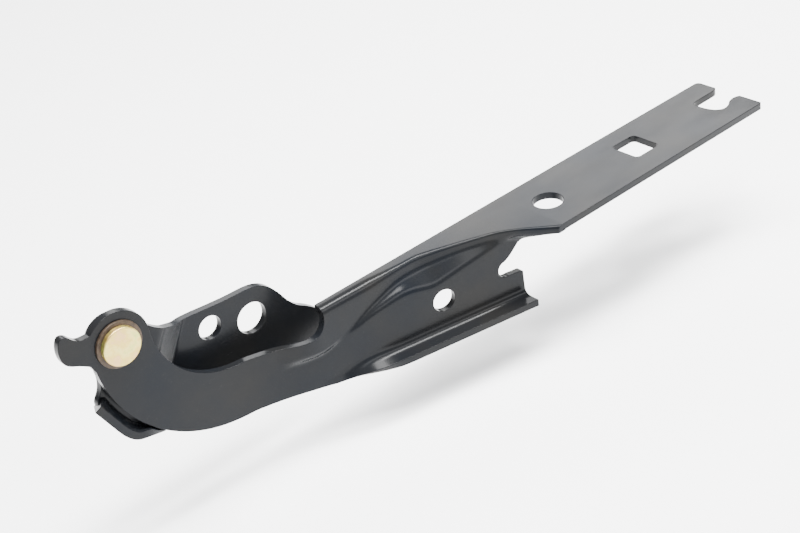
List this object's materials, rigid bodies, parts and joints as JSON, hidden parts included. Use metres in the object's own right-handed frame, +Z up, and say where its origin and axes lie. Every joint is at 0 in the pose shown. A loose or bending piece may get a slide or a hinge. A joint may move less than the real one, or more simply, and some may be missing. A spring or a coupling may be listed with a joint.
{
  "type": "hood hinge",
  "caption": "Pressed-steel hood hinge: a long flanged arm with a ridged web swings on a rivet in a stepped body bracket with a turned stop lip.",
  "frame": {"origin": "centre of the bracket's larger bolt hole, on the rear face that meets the car's body", "axes": "+X along the hood flange towards the hood end, +Y along the pivot towards the car's body, +Z up, square to the flange"},
  "size_m": [0.3285, 0.0525, 0.0771],
  "materials": {
    "arm_coat": "glossy black dip coat on pressed steel",
    "bracket_coat": "glossy black dip coat on pressed steel",
    "rivet_zinc": "yellow zinc plate with a faint rainbow tint",
    "bush_bronze": "dull sintered bronze",
    "washer_plastic": "dark matt bearing plastic"
  },
  "bodies": {
    "bracket": {"body_bracket": "bracket_coat", "pivot_rivet": "rivet_zinc", "thrust_washer": "washer_plastic"},
    "arm": {"hood_arm": "arm_coat", "pivot_bush": "bush_bronze"}
  },
  "joints": [
    {"name": "hood_pivot", "type": "hinge", "parent": "bracket", "child": "arm", "pos_m": [-0.0598, -0.011, 0.0272], "axis": [0, -1, 0], "range_deg": [0, 74]}
  ]
}
